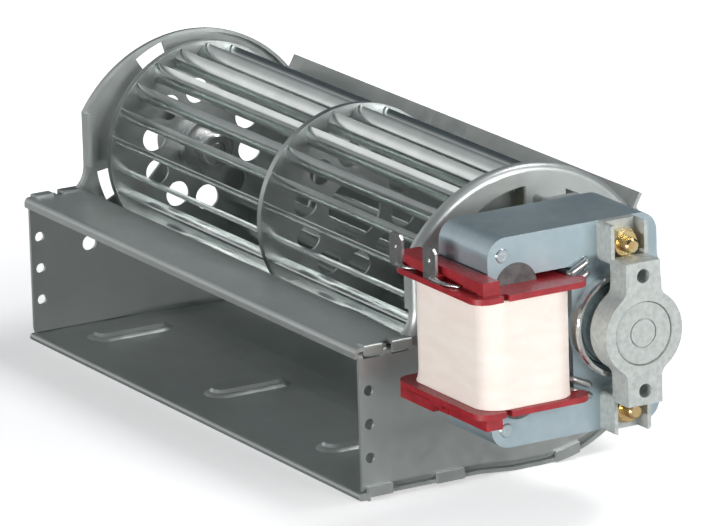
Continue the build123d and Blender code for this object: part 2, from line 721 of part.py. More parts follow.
with BuildPart() as centring_collar:
    with BuildSketch(across(STACK_OUT_X)):
        Circle(COLLAR_R)
        Circle(COLLAR_IN_R, mode=Mode.SUBTRACT)
    extrude(amount=COLLAR_T)
    chamfer(centring_collar.edges().group_by(Axis.X)[-1].sort_by(SortBy.LENGTH)[-1], SHEET / 2)
finish(centring_collar.part, "centring_collar")

with BuildPart() as core_leg:
    with BuildSketch(across(STACK_IN_X)):
        add(leg_section())
    extrude(amount=STACK_OUT_X - STACK_IN_X)
finish(core_leg.part, "core_leg")

with BuildPart() as stator_rivets:
    with BuildSketch(across(STACK_IN_X)):
        with Locations(*RIVET_PLACES):
            Circle(RIVET_R)
    extrude(amount=STACK_OUT_X - STACK_IN_X)
    for face_x, way in ((STACK_IN_X, -1), (STACK_OUT_X, 1)):
        with BuildSketch(across(face_x)):
            with Locations(*RIVET_PLACES):
                Circle(RIVET_HEAD_R)
        extrude(amount=way * RIVET_HEAD, taper=30)
finish(stator_rivets.part, "stator_rivets")


def shading_ring(side, height):
    """Wire loop round part of a pole: it leaves the coil window and comes back through a slot."""
    low_x = STACK_IN_X - SHADE_OUT
    high_x = STACK_OUT_X + SHADE_OUT
    window = (SHADE_WINDOW_Y, AXIS_H + side * height)
    slot = (SHADE_SLOT_Y, AXIS_H + side * (height + SHADE_SLOPE))
    corners = [(low_x, *window), (high_x, *window), (high_x, *slot), (low_x, *slot)]
    with BuildPart() as ring:
        with BuildLine() as path:
            FilletPolyline(*corners, close=True, radius=BEND_R)
        with BuildSketch(Plane(origin=path.line @ 0, z_dir=path.line % 0)):
            Circle(SHADE_R)
        sweep()
    return ring.part


rings = [shading_ring(side, height) for side in (-1, 1) for height in SHADE_Z]
finish(Compound(children=rings), "shading_rings")

# ---------------------------------------------------------------- bobbin and coil
TUBE_HALF_X = (STACK_OUT_X - STACK_IN_X) / 2 + SLIP
TUBE_HALF_Y = LEG_HALF_W + SLIP


def flange_sketch():
    """Bobbin flange: a broad plate with a nick between its front and outer lobes."""
    with BuildSketch() as plate:
        with Locations(((FLANGE_RIGHT - FLANGE_LEFT) / 2, (FLANGE_BACK - FLANGE_FRONT) / 2)):
            RectangleRounded(FLANGE_LEFT + FLANGE_RIGHT, FLANGE_FRONT + FLANGE_BACK, FLANGE_CORNER_R)
        with Locations((FLANGE_RIGHT, FLANGE_NICK_Y)):
            SlotOverall(2 * FLANGE_NICK_D, FLANGE_NICK_W, mode=Mode.SUBTRACT)
        with Locations((0, FLANGE_WAIST)):
            Rectangle(
                2 * FLANGE_WAIST_X, FLANGE_BACK, align=(Align.CENTER, Align.MIN), mode=Mode.SUBTRACT
            )
        lobe_corners = plate.vertices().filter_by(
            lambda v: abs(abs(v.X) - FLANGE_WAIST_X) < SLIP and v.Y > FLANGE_BACK - SLIP
        )
        fillet(lobe_corners, radius=FLANGE_LOBE_R)
        Rectangle(2 * TUBE_HALF_X, 2 * TUBE_HALF_Y, mode=Mode.SUBTRACT)
    return plate.sketch


with BuildPart() as bobbin:
    with BuildSketch(level(COIL_LOW_Z - FLANGE_T)):
        Rectangle(2 * (TUBE_HALF_X + WALL), 2 * (TUBE_HALF_Y + WALL))
        Rectangle(2 * TUBE_HALF_X, 2 * TUBE_HALF_Y, mode=Mode.SUBTRACT)
    extrude(amount=COIL_HIGH_Z - COIL_LOW_Z + 2 * FLANGE_T)
    for low_z in (COIL_LOW_Z - FLANGE_T, COIL_HIGH_Z):
        with BuildSketch(level(low_z)):
            add(flange_sketch())
        extrude(amount=FLANGE_T)
    # rails in front of the stack: one carries the terminals, the other is its lower twin
    rail_y = -(RAIL_FRONT + RAIL_BACK) / 2
    for low_z, way in ((COIL_HIGH_Z + FLANGE_T, 1), (COIL_LOW_Z - FLANGE_T, -1)):
        with BuildSketch(level(low_z)):
            with Locations((-(FLANGE_LEFT - RAIL_END) / 2, rail_y)):
                Rectangle(FLANGE_LEFT - RAIL_END, RAIL_FRONT - RAIL_BACK)
            with Locations(((FLANGE_RIGHT - 2 * RAIL_STEP) / 2, rail_y + RAIL_STEP / 2)):
                Rectangle(FLANGE_RIGHT - RAIL_END, RAIL_FRONT - RAIL_BACK - RAIL_STEP)
        extrude(amount=way * RAIL_T)
        with BuildSketch(level(low_z + way * RAIL_T / 2)):
            with Locations((RAIL_NICK_X, -RAIL_FRONT)):
                Rectangle(RAIL_NICK_W, 2 * RAIL_NICK_D)
        extrude(amount=way * RAIL_T, mode=Mode.SUBTRACT)
        with BuildSketch(level(low_z)):
            for start, stop in RAIL_SLITS:
                with Locations(((start + stop) / 2, -RAIL_FRONT)):
                    Rectangle(stop - start, 2 * RAIL_SLIT_D)
        extrude(amount=way * RAIL_SLIT_H, mode=Mode.SUBTRACT)
finish(bobbin.part, "bobbin")


def coil_outline(inset):
    """Plan of the coil, drawn in by this much."""
    with BuildSketch() as plan:
        RectangleRounded(2 * (COIL_HALF_X - inset), 2 * (COIL_HALF_Y - inset), COIL_CORNER_R - inset)
    return plan.sketch


COIL_HEIGHT = COIL_HIGH_Z - COIL_LOW_Z - 2 * SLIP
with BuildPart() as coil_winding:
    with BuildSketch(level(COIL_LOW_Z + SLIP)):
        add(coil_outline(TAPE_T + SEAT))
        Rectangle(
            2 * (TUBE_HALF_X + WALL + SEAT), 2 * (TUBE_HALF_Y + WALL + SEAT), mode=Mode.SUBTRACT
        )
    extrude(amount=COIL_HEIGHT)
finish(coil_winding.part, "coil_winding")

with BuildPart() as coil_tape:
    with BuildSketch(level(COIL_LOW_Z + SLIP)):
        add(coil_outline(0))
        add(coil_outline(TAPE_T), mode=Mode.SUBTRACT)
    extrude(amount=COIL_HEIGHT)
finish(coil_tape.part, "coil_tape")

TERMINAL_Z = COIL_HIGH_Z + FLANGE_T
TERMINAL_Y = LEG_Y - RAIL_FRONT - TERMINAL_T / 2
TERMINAL_X = [MOTOR_X + off for off in TERMINAL_OFF_X]
for terminal_name, terminal_x in zip(("terminal_rear", "terminal_front"), TERMINAL_X):
    with BuildPart() as terminal:
        foot = (terminal_x, TERMINAL_Y, AXIS_H + TERMINAL_Z)
        base = Plane(origin=foot, x_dir=(1, 0, 0), z_dir=(0, -1, 0))
        with BuildSketch(base.offset(-TERMINAL_T / 2)):
            Rectangle(TERMINAL_W, TERMINAL_H, align=(Align.CENTER, Align.MIN))
            with Locations((0, TERMINAL_H * 0.62)):
                Circle(TERMINAL_HOLE_R, mode=Mode.SUBTRACT)
        extrude(amount=TERMINAL_T)
        chamfer(terminal.edges().filter_by(Axis.Y).group_by(Axis.Z)[-1], 1.2)
    finish(terminal.part, terminal_name)

with BuildPart() as coil_leads:
    for terminal_x in TERMINAL_X:
        lead_start = terminal_x + TERMINAL_W / 2 - 2.0
        with Locations((lead_start, TERMINAL_Y - TERMINAL_T / 2 - LEAD_R, AXIS_H + TERMINAL_Z + LEAD_R)):
            Cylinder(LEAD_R, LEAD_LENGTH, rotation=(0, 90, 0), align=(Align.CENTER, Align.CENTER, Align.MIN))
finish(coil_leads.part, "coil_leads")


# ---------------------------------------------------------------- bearing brackets
def bracket(face_x, way):
    """Die-cast arm on a face of the stack; way is its direction along X."""
    with BuildPart() as arm:
        # lugs on the stack, with a pocket for the nut or the bolt head
        with BuildSketch(across(face_x)):
            for side in (-1, 1):
                with Locations((0, side * (LUG_INNER_Z + STACK_HALF_H) / 2)):
                    RectangleRounded(2 * LUG_HALF_W, STACK_HALF_H - LUG_INNER_Z, 1.0)
        extrude(amount=way * LUG_T)
        with BuildSketch(across(face_x + way * POCKET_FLOOR)):
            for side in (-1, 1):
                with Locations((0, side * (POCKET_INNER_Z + STACK_HALF_H + 5) / 2)):
                    Rectangle(2 * POCKET_HALF_W, STACK_HALF_H + 5 - POCKET_INNER_Z)
        extrude(amount=way * LUG_T, mode=Mode.SUBTRACT)
        # boss and arm
        with BuildSketch(across(face_x + way * ARM_IN)) as front:
            Circle(BOSS_R)
            Rectangle(2 * ARM_HALF_W, 2 * ARM_HALF_H)
            fillet(front.vertices().group_by(lambda v: round(hypot(v.X, v.Y), 1))[0], BOSS_FILLET)
        extrude(amount=way * (ARM_OUT - ARM_IN))
        with BuildSketch(across(face_x)):
            Circle(BUSH_R)
            with Locations((0, ARM_HOLE_Z), (0, -ARM_HOLE_Z)):
                Circle(ARM_HOLE_R)
        extrude(amount=way * (ARM_OUT + 1), mode=Mode.SUBTRACT)
        with BuildSketch(across(face_x)):
            with Locations(*BOLT_PLACES):
                Circle(BOLT_HOLE_R)
        extrude(amount=way * LUG_T, mode=Mode.SUBTRACT)
        if way > 0:
            with BuildSketch(across(CAP_SEAT_X)):
                Circle(CAP_R + SEAT)
            extrude(amount=CAP_T + CAP_RECESS, mode=Mode.SUBTRACT)
        else:
            with BuildSketch(across(HALF_OUT)):
                with Locations((WEB_Y, POST_Z), (WEB_Y, -POST_Z)):
                    Circle(POST_R)
            extrude(amount=face_x - LUG_T - HALF_OUT + 1)
            with BuildSketch(across(HALF_OUT)):
                with Locations((WEB_Y, POST_Z), (WEB_Y, -POST_Z)):
                    Circle(SCREW_R + SEAT)
            extrude(amount=SCREW_LENGTH, mode=Mode.SUBTRACT)
    return arm.part


finish(bracket(STACK_OUT_X, 1), "bearing_bracket_outer")
finish(bracket(STACK_IN_X, -1), "bearing_bracket_inner")


def bush(start_x, length):
    """Sintered bush in a bracket boss."""
    with BuildPart() as sleeve:
        with BuildSketch(across(start_x)):
            Circle(BUSH_R - SEAT)
            Circle(SHAFT_R + RUNNING, mode=Mode.SUBTRACT)
        extrude(amount=length)
    return sleeve.part


finish(bush(CAP_SEAT_X - BUSH_LENGTH, BUSH_LENGTH), "motor_bush_outer")
finish(bush(STACK_IN_X - ARM_OUT, BUSH_LENGTH), "motor_bush_inner")

with BuildPart() as bearing_cap:
    with BuildSketch(across(CAP_SEAT_X)):
        Circle(CAP_R)
    extrude(amount=CAP_T)
    chamfer(bearing_cap.edges().group_by(Axis.X)[-1], 0.4)
    with BuildSketch(across(CAP_SEAT_X + CAP_T)):
        Circle(CAP_RING_R)
        Circle(CAP_RING_R - CAP_GROOVE, mode=Mode.SUBTRACT)
    extrude(amount=-CAP_GROOVE, mode=Mode.SUBTRACT)
finish(bearing_cap.part, "bearing_cap")

HEX_R = HEX / 2 / cos(radians(30))
HEAD_X = STACK_IN_X - POCKET_FLOOR
with BuildPart() as through_bolts:
    with BuildSketch(across(HEAD_X)):
        with Locations(*BOLT_PLACES):
            RegularPolygon(HEX_R, 6)
    extrude(amount=-NUT_T)
    with BuildSketch(across(HEAD_X)):
        with Locations(*BOLT_PLACES):
            Circle(BOLT_R)
    extrude(amount=STACK_OUT_X + BOLT_PROUD - HEAD_X)
    chamfer(through_bolts.edges().group_by(Axis.X)[-1], 0.5)
finish(through_bolts.part, "through_bolts")

with BuildPart() as nuts:
    with BuildSketch(across(STACK_OUT_X + POCKET_FLOOR)):
        with Locations(*BOLT_PLACES):
            RegularPolygon(HEX_R, 6)
            Circle(BOLT_R + SEAT, mode=Mode.SUBTRACT)
    extrude(amount=NUT_T)
finish(nuts.part, "nuts")

with BuildPart() as mount_screws:
    with BuildSketch(across(PLATE_IN)):
        with Locations((WEB_Y, POST_Z), (WEB_Y, -POST_Z)):
            Circle(SCREW_HEAD_R)
    extrude(amount=-SCREW_HEAD)
    with BuildSketch(across(PLATE_IN)):
        with Locations((WEB_Y, POST_Z), (WEB_Y, -POST_Z)):
            Circle(SCREW_R)
    extrude(amount=SCREW_LENGTH)
finish(mount_screws.part, "mount_screws")
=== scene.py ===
"""Dresses the cross flow fan: materials for every solid, finer pieces where the eye goes, and a
plain studio with the camera."""
import json

import bpy
import numpy as np
from mathutils import Matrix, Vector


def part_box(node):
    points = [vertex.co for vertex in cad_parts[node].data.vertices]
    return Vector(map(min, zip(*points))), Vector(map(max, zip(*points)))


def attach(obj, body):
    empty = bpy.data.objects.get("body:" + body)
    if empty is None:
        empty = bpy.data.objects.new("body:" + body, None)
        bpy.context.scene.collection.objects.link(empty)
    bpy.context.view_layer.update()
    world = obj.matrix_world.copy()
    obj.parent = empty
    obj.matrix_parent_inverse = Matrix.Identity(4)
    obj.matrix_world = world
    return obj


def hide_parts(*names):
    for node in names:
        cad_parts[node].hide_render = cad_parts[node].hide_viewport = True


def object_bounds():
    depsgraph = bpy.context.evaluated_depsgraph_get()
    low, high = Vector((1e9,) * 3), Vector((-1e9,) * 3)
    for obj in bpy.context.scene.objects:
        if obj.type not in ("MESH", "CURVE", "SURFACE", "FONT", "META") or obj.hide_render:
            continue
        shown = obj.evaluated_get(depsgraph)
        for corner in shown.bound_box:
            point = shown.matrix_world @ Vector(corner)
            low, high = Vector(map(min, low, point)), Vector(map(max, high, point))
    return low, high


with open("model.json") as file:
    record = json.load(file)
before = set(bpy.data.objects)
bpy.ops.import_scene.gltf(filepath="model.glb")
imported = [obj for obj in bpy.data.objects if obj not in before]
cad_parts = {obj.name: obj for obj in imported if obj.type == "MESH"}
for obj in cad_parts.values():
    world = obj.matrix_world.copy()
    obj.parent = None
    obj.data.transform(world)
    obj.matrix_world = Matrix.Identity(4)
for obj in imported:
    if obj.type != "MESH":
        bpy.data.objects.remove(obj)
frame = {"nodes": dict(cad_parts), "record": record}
CAD_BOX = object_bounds()
NODES = frame["nodes"]
MM = 0.001


def middle(low, high):
    return (low + high) / 2


# ---------------------------------------------------------------- places, in metres
SHAFT_LOW, SHAFT_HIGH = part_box("motor_shaft")
NUT_LOW, NUT_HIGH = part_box("nuts")
STACK_LOW, STACK_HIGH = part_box("stator_stack")
RIVET_LOW, RIVET_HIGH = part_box("stator_rivets")
BOLT_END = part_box("through_bolts")[1].x
AXIS_Z = middle(SHAFT_LOW.z, SHAFT_HIGH.z)          # height of the rotor axis

# ---------------------------------------------------------------- sizes, in millimetres
SHEET = 1.0
NUT_HALF_FLATS = 3.5
NUT_BORE_R = 2.03
NUT_T = (NUT_HIGH.x - NUT_LOW.x) / MM
BOLT_Z = (NUT_HIGH.z - NUT_LOW.z) / 2 / MM - NUT_HALF_FLATS     # bolts above and below the axis
BOLT_TIP = 0.55             # plain tip beyond the thread
THREAD_PITCH = 0.7
THREAD_CORE_R = 2.01
THREAD_RIDGE = 0.1
THREAD_INNER_R = 1.9
RIVET_HEAD_R = 1.9
RIVET_Y = middle(RIVET_LOW.y, RIVET_HIGH.y) / MM
RIVET_Z = (RIVET_HIGH.z - RIVET_LOW.z) / 2 / MM - RIVET_HEAD_R
DOME_R = 1.95               # radius at which a rivet's dome would come down to nothing
DOME_EDGE_R = 1.93
DOME_HIGH = 0.6
TAPE_CORNER = 6.0
TAPE_WALL = 0.6
BEAD_R = 4.5                # from a bead's middle line to the outline that it is drawn from
BEAD_HALF_X = 4.6
BEAD_HALF_Y = 12.5
BEAD_FLAT = 3.2
BEAD_REACH = 7.0
BEAD_HIGH = 1.9
BEAD_CROWN = 0.35
BEAD_X = (-77.0, -9.5, 52.0)
BEAD_Y = -30.0
SUNK = 0.05                 # depth to which the beads' skins go into the sheet


# ---------------------------------------------------------------- node helpers
class Shader:
    """A material with a Principled surface, built up by short calls."""

    def __init__(self, name, colour, metallic=0.0, roughness=0.5, **sockets):
        self.material = bpy.data.materials.new(name)
        self.material.use_nodes = True
        self.tree = self.material.node_tree
        self.surface = self.tree.nodes["Principled BSDF"]
        self.colour = (*colour, 1.0)
        self.set("Base Color", self.colour)
        self.set("Metallic", metallic)
        self.set("Roughness", roughness)
        for socket, value in sockets.items():
            self.set(socket.replace("_", " "), value)
        self.place = self.node("ShaderNodeTexCoord").outputs["Object"]
        self.bump_normal = None

    def node(self, kind, **settings):
        made = self.tree.nodes.new(kind)
        for key, value in settings.items():
            if hasattr(made, key):
                setattr(made, key, value)
            else:
                made.inputs[key.replace("_", " ")].default_value = value
        return made

    def set(self, socket, value):
        self.surface.inputs[socket].default_value = value

    def link(self, output, target):
        self.tree.links.new(output, target)

    def scaled(self, scale, turn=(0, 0, 0)):
        """Object coordinates stretched by a scale on each axis."""
        mapping = self.node("ShaderNodeMapping")
        mapping.inputs["Scale"].default_value = scale
        mapping.inputs["Rotation"].default_value = turn
        self.link(self.place, mapping.inputs["Vector"])
        return mapping.outputs["Vector"]

    def noise(self, scale, detail=3.0, stretch=(1, 1, 1)):
        """Cloudy pattern; scale is in cells a metre."""
        made = self.node("ShaderNodeTexNoise", Detail=detail)
        made.inputs["Scale"].default_value = scale
        self.link(self.scaled(stretch), made.inputs["Vector"])
        return made.outputs["Fac"]

    def ramp(self, value, low, high, dark, light):
        """Maps a value between two stops to two numbers."""
        made = self.node("ShaderNodeMapRange")
        for socket, number in zip(("From Min", "From Max", "To Min", "To Max"), (low, high, dark, light)):
            made.inputs[socket].default_value = number
        self.link(value, made.inputs["Value"])
        return made.outputs["Result"]

    def tint(self, value, shades):
        """Base colour run through a colour ramp of (position, colour) stops."""
        made = self.node("ShaderNodeValToRGB")
        stops = made.color_ramp.elements
        while len(stops) < len(shades):
            stops.new(0.5)
        for stop, (position, colour) in zip(stops, shades):
            stop.position = position
            stop.color = (*colour, 1.0)
        self.link(value, made.inputs["Fac"])
        self.link(made.outputs["Color"], self.surface.inputs["Base Color"])
        return made.outputs["Color"]

    def rough(self, value, low, high):
        self.link(self.ramp(value, 0.25, 0.75, low, high), self.surface.inputs["Roughness"])

    def bump(self, value, depth, strength=1.0):
        """Adds a relief of this depth in metres on top of earlier ones."""
        made = self.node("ShaderNodeBump")
        made.inputs["Distance"].default_value = depth
        made.inputs["Strength"].default_value = strength
        self.link(value, made.inputs["Height"])
        if self.bump_normal:
            self.link(self.bump_normal, made.inputs["Normal"])
        self.bump_normal = made.outputs["Normal"]
        self.link(self.bump_normal, self.surface.inputs["Normal"])


def grey(level, warmth=0.0):
    return (level * (1 + warmth), level, level * (1 - warmth))


def cool(level):
    """Grey of a level with a slight green-blue cast."""
    return (level * 0.93, level * 0.985, level * 0.965)


# ---------------------------------------------------------------- finishes
def zinc_sheet(name, level, roughness=0.36):
    """Galvanised sheet: soft clouds of tone, a fine grain and faint rolling lines along X."""
    made = Shader(name, cool(level), metallic=0.6, roughness=roughness)
    cloud = made.noise(60, 3)
    made.tint(cloud, ((0.25, cool(level * 0.94)), (0.55, cool(level)), (0.8, cool(level * 1.05))))
    made.rough(made.noise(240, 3), roughness - 0.06, roughness + 0.08)
    made.bump(made.noise(2600, 2), 0.00002, 0.5)
    made.bump(made.noise(900, 2, (0.06, 1, 1)), 0.00002, 0.35)
    return made.material


def bright_aluminium():
    """Rolled aluminium strip, almost a mirror, with fine lines along the blade."""
    made = Shader("bright_aluminium", cool(0.84), metallic=1.0, roughness=0.18)
    lines = made.noise(1400, 3, (0.02, 1, 1))
    made.tint(made.noise(120, 3), ((0.3, cool(0.74)), (0.7, cool(0.86))))
    made.rough(lines, 0.14, 0.24)
    return made.material


def dull_shaded_aluminium():
    """Pressed aluminium sheet of the discs, duller than the blades and coloured darker than them as
    painted shade for their dark reflections.
    """
    made = Shader("dull_shaded_aluminium", cool(0.62), metallic=1.0, roughness=0.38)
    made.tint(made.noise(120, 3), ((0.3, cool(0.54)), (0.7, cool(0.66))))
    made.rough(made.noise(500, 2), 0.34, 0.44)
    return made.material


def ground_steel():
    """Turned and ground steel with fine rings round the axis."""
    made = Shader("ground_steel", grey(0.6), metallic=1.0, roughness=0.25)
    rings = made.noise(900, 2, (1, 0.05, 0.05))
    made.rough(rings, 0.18, 0.36)
    made.bump(rings, 0.00001, 0.4)
    made.tint(made.noise(200, 2), ((0.3, grey(0.52)), (0.7, grey(0.66))))
    return made.material


def laminations():
    """Pack of laminations under blue-grey varnish, with soft waves across X. Their period is
    2 pi / (20 scale) metres, about 3 mm."""
    made = Shader("laminations", (0.44, 0.54, 0.58), metallic=0.6, roughness=0.3, Coat_Weight=0.25)
    made.set("Coat Roughness", 0.15)
    wave = made.node("ShaderNodeTexWave", wave_type="BANDS", bands_direction="X")
    wave.inputs["Scale"].default_value = 100
    wave.inputs["Distortion"].default_value = 0.4
    wave.inputs["Detail"].default_value = 1.0
    made.link(made.place, wave.inputs["Vector"])
    made.bump(wave.outputs["Fac"], 0.00004, 0.35)
    made.tint(
        made.noise(110, 4),
        ((0.25, (0.38, 0.49, 0.54)), (0.6, (0.45, 0.55, 0.59)), (0.85, (0.51, 0.6, 0.63))),
    )
    made.rough(made.noise(500, 3), 0.28, 0.44)
    return made.material


def cast_alloy():
    """Pressure die casting: matt grey skin with a grain and small cold marks."""
    made = Shader("cast_alloy", (0.52, 0.55, 0.53), metallic=0.35, roughness=0.52)
    made.tint(
        made.noise(700, 5),
        ((0.28, (0.42, 0.45, 0.43)), (0.55, (0.52, 0.55, 0.53)), (0.8, (0.6, 0.62, 0.6))),
    )
    made.rough(made.noise(900, 3), 0.46, 0.6)
    made.bump(made.noise(1500, 4), 0.0001, 0.7)
    made.bump(made.noise(5200, 2), 0.00003, 0.5)
    return made.material


def yellow_zinc():
    """Yellow chromate over zinc, turning greenish in places."""
    made = Shader("yellow_zinc", (0.84, 0.62, 0.30), metallic=1.0, roughness=0.22)
    made.tint(
        made.noise(220, 2),
        ((0.3, (0.74, 0.44, 0.2)), (0.55, (0.86, 0.66, 0.33)), (0.8, (0.8, 0.76, 0.46))),
    )
    made.rough(made.noise(900, 2), 0.18, 0.3)
    made.bump(made.noise(1200, 2), 0.00001, 0.3)
    return made.material


def red_moulding():
    """Red glass-filled moulding: slightly cloudy colour and a satin skin."""
    made = Shader("red_moulding", (0.36, 0.02, 0.03), roughness=0.34, Specular_IOR_Level=0.6)
    made.tint(
        made.noise(260, 4),
        ((0.25, (0.27, 0.012, 0.018)), (0.6, (0.37, 0.022, 0.03)), (0.9, (0.45, 0.045, 0.05))),
    )
    made.rough(made.noise(1200, 3), 0.3, 0.5)
    made.bump(made.noise(2200, 3), 0.00003, 0.5)
    return made.material


def cream_tape():
    """Smooth cream tape: faint turns round the coil, each slightly wrinkled."""
    made = Shader("cream_tape", (0.93, 0.83, 0.75), roughness=0.55, Specular_IOR_Level=0.35)
    cloud = made.noise(90, 4, (1, 1, 3))
    made.tint(cloud, ((0.3, (0.90, 0.79, 0.71)), (0.6, (0.94, 0.85, 0.78)), (0.85, (0.96, 0.89, 0.83))))
    made.bump(made.noise(160, 3, (1, 1, 6)), 0.00012, 0.5)
    made.bump(made.noise(2400, 2), 0.00002, 0.5)
    made.rough(made.noise(300, 2), 0.48, 0.64)
    return made.material


def enamelled_copper():
    """Copper wire under clear enamel, ribbed by its turns."""
    made = Shader("enamelled_copper", (0.58, 0.22, 0.09), metallic=0.9, roughness=0.3)
    made.tint(made.noise(700, 2), ((0.3, (0.5, 0.17, 0.06)), (0.7, (0.66, 0.28, 0.12))))
    made.bump(made.noise(3000, 2, (1, 1, 8)), 0.00006, 0.6)
    return made.material


def tinned(name, level, roughness):
    """Dull tin plating with a soft flow in its tone."""
    made = Shader(name, grey(level, 0.02), metallic=0.95, roughness=roughness)
    made.tint(made.noise(500, 3), ((0.3, grey(level * 0.82)), (0.7, grey(level * 1.08, 0.02))))
    made.bump(made.noise(1800, 3), 0.00003, 0.5)
    made.rough(made.noise(900, 2), roughness - 0.08, roughness + 0.1)
    return made.material


def black_rubber():
    """Black rubber with a fine matt grain."""
    made = Shader("black_rubber", (0.02, 0.02, 0.022), roughness=0.6)
    made.tint(made.noise(600, 3), ((0.3, (0.014, 0.014, 0.016)), (0.7, (0.03, 0.03, 0.032))))
    made.bump(made.noise(2500, 2), 0.00004, 0.5)
    return made.material


def sintered_bronze():
    """Porous bronze of the bushes."""
    made = Shader("sintered_bronze", (0.42, 0.27, 0.12), metallic=0.9, roughness=0.45)
    made.tint(made.noise(900, 3), ((0.3, (0.34, 0.21, 0.09)), (0.7, (0.5, 0.33, 0.16))))
    made.bump(made.noise(4200, 3), 0.00004, 0.7)
    return made.material


def dark_laminations():
    """Cut ends of the coil leg's laminations: bare, darker steel."""
    made = Shader("dark_laminations", grey(0.16), metallic=0.8, roughness=0.45)
    made.tint(made.noise(400, 3), ((0.3, grey(0.11)), (0.7, grey(0.2))))
    made.bump(made.noise(1800, 2), 0.00003, 0.5)
    return made.material


FINISHES = {
    "zinc_sheet": zinc_sheet("zinc_sheet", 0.56),
    "rotor_aluminium": bright_aluminium(),
    "shaft_steel": ground_steel(),
    "lamination_steel": laminations(),
    "cast_bracket": cast_alloy(),
    "grommet_rubber": black_rubber(),
    "bush_bronze": sintered_bronze(),
    "tinned_wire": tinned("tinned_wire", 0.72, 0.28),
    "tinned_blade": tinned("tinned_blade", 0.5, 0.36),
    "bobbin_red": red_moulding(),
    "winding_copper": enamelled_copper(),
    "coil_tape": cream_tape(),
    "yellow_zinc": yellow_zinc(),
}
VARNISHED_WIRE = tinned("varnished_wire", 0.5, 0.35)
BRIGHT_RING = tinned("bright_ring", 0.86, 0.16)
LEG_ENDS = dark_laminations()
SHADED_PRESSED_DISC = dull_shaded_aluminium()
SLOT_OF = {part["node"]: part["material_slot"] for part in frame["record"]["subparts"]}


def dress(piece, finish):
    """Gives a mesh one finish in place of all its material slots."""
    piece.data.materials.clear()
    piece.data.materials.append(finish)


for node_name, node in NODES.items():
    dress(node, FINISHES[SLOT_OF[node_name]])
dress(NODES["shading_rings"], VARNISHED_WIRE)
dress(NODES["centring_collar"], BRIGHT_RING)
dress(NODES["core_leg"], LEG_ENDS)
for disc in ("left", "middle", "right"):
    # The discs take a darker copy of the rotor aluminium: painted shade.
    dress(NODES["impeller_disc_" + disc], SHADED_PRESSED_DISC)


# ---------------------------------------------------------------- surfaces
def grid_mesh(name, points, closed_u=False, closed_v=False, finish=None, smooth=True):
    """Mesh of a grid of points: points[i, j] runs i along u and j along v."""
    rows, columns = points.shape[:2]
    index = np.arange(rows * columns).reshape(rows, columns)
    if closed_u:
        index = np.concatenate((index, index[:1]), axis=0)
    if closed_v:
        index = np.concatenate((index, index[:, :1]), axis=1)
    faces = np.stack((index[:-1, :-1], index[1:, :-1], index[1:, 1:], index[:-1, 1:]), axis=-1)
    mesh = bpy.data.meshes.new(name)
    mesh.from_pydata(points.reshape(-1, 3).tolist(), [], faces.reshape(-1, 4).tolist())
    mesh.polygons.foreach_set("use_smooth", np.full(len(mesh.polygons), smooth))
    mesh.update()
    piece = bpy.data.objects.new(name, mesh)
    bpy.context.scene.collection.objects.link(piece)
    if finish:
        mesh.materials.append(finish)
    return piece


def joined(name, pieces, body, finish):
    """Joins finished pieces into one that rides on a body."""
    with bpy.context.temp_override(active_object=pieces[0], selected_editable_objects=pieces):
        bpy.ops.object.join()
    whole = pieces[0]
    whole.name = name
    dress(whole, finish)
    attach(whole, body)
    return whole


def round_about_x(radius, height, place):
    """Points of a surface about an axis along X. radius and height are grids [i, j] in
    millimetres: i runs round, j along the section; height is measured along X from place."""
    turn = np.linspace(0, 2 * np.pi, radius.shape[0], endpoint=False)[:, None]
    x, y, z = place
    return np.stack(
        (x + height * MM, y + radius * np.cos(turn) * MM, z + radius * np.sin(turn) * MM), axis=-1
    )


def on_both_bolts(name, radius, height, x, smooth=True):
    """The same surface of revolution about the lower and the upper bolt, from x along X."""
    return [
        grid_mesh(name, round_about_x(radius, height, (x, 0, AXIS_Z + side * BOLT_Z * MM)),
                  closed_u=True, closed_v=True, smooth=smooth)
        for side in (-1, 1)
    ]


def chamfered_nuts():
    """Hexagon nuts. At angle t the hexagon is a / cos(t mod 60 - 30) with a half the width across
    flats, cut by a cone of 3.3 + 1.7 d at a depth d from either face. The section runs from the
    bore out over one face, along the flank and back over the other face to the bore."""
    t = np.degrees(np.linspace(0, 2 * np.pi, 120, endpoint=False))[:, None]
    hexagon = NUT_HALF_FLATS / np.cos(np.radians(np.mod(t, 60) - 30))
    edge = np.array((0.0, 0.0, 0.12, 0.25, 0.42))
    depth = np.concatenate((edge, (NUT_T / 2,), NUT_T - edge[::-1]))
    cone = 3.3 + 1.7 * np.minimum(depth, NUT_T - depth)[None, :]
    radius = np.minimum(hexagon, cone)
    radius[:, [0, -1]] = NUT_BORE_R
    height = np.broadcast_to(depth[None, :], radius.shape)
    pieces = on_both_bolts("nut", radius, height, NUT_LOW.x, smooth=False)
    whole = joined("chamfered_nuts", pieces, "housing", FINISHES["yellow_zinc"])
    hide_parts("nuts")


def bolt_threads():
    """Rolled thread on each bolt end: the core's radius plus a triangle wave of the phase
    x / pitch - t / 360, faded out towards the tip; the sleeve closes inside the bolt."""
    end = (BOLT_END - NUT_HIGH.x) / MM - BOLT_TIP
    t = np.linspace(0, 1, 48, endpoint=False)[:, None]
    x = np.linspace(-0.2, end, 90)[None, :]
    phase = np.mod(x / THREAD_PITCH - t, 1.0)
    ridge = 1 - np.abs(2 * phase - 1)
    fade = np.clip((end - x) / 0.5, 0, 1)
    outer = THREAD_CORE_R + THREAD_RIDGE * ridge * fade
    inner = np.full_like(outer[:, :1], THREAD_INNER_R)
    radius = np.concatenate((inner, outer, inner), axis=1)
    ends = np.broadcast_to(x, outer.shape)
    height = np.concatenate((ends[:, :1], ends, ends[:, -1:]), axis=1)
    pieces = on_both_bolts("thread", radius, height, NUT_HIGH.x)
    joined("bolt_threads", pieces, "housing", FINISHES["yellow_zinc"])


